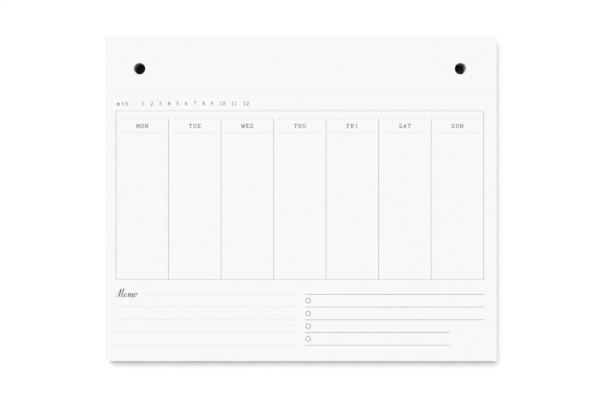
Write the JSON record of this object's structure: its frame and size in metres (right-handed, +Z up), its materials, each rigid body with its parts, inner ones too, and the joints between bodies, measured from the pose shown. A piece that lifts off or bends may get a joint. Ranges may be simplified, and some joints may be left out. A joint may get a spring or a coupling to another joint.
{
  "type": "weekly planner pad",
  "caption": "Desk pad of white sheets glued along the head to a black board, with a tear-off line under a plain drilled header and a printed week grid with notes and task rules.",
  "frame": {"origin": "on the surface that the pad lies on, under the middle of the pad's outline", "axes": "+Z up out of the printed face, +Y towards the head with the two holes, +X to the right of someone reading the pad"},
  "size_m": [0.27, 0.224, 0.01],
  "materials": {
    "paper": "matte",
    "board": "matte",
    "adhesive": "satin",
    "ink": "matte"
  },
  "bodies": {
    "root": {"page_block": "paper", "backing_board": "board", "head_adhesive": "adhesive", "print_day_grid": "ink", "print_heading_1_upper": "ink", "print_heading_1_lower": "ink", "print_heading_2_upper": "ink", "print_heading_2_lower": "ink", "print_heading_3_upper": "ink", "print_heading_3_lower": "ink", "print_heading_4_upper": "ink", "print_heading_4_lower": "ink", "print_heading_5_upper": "ink", "print_heading_5_lower": "ink", "print_heading_6_upper": "ink", "print_heading_6_lower": "ink", "print_heading_7_upper": "ink", "print_heading_7_lower": "ink", "print_notes_rule_1": "ink", "print_notes_rule_2": "ink", "print_notes_rule_3": "ink", "print_notes_rule_4": "ink", "print_notes_rule_5": "ink", "print_task_rule_1": "ink", "print_task_rule_2": "ink", "print_task_rule_3": "ink", "print_task_rule_4": "ink", "print_task_rule_5": "ink", "print_tick_circle_1": "ink", "print_tick_circle_2": "ink", "print_tick_circle_3": "ink", "print_tick_circle_4": "ink"}
  },
  "joints": []
}
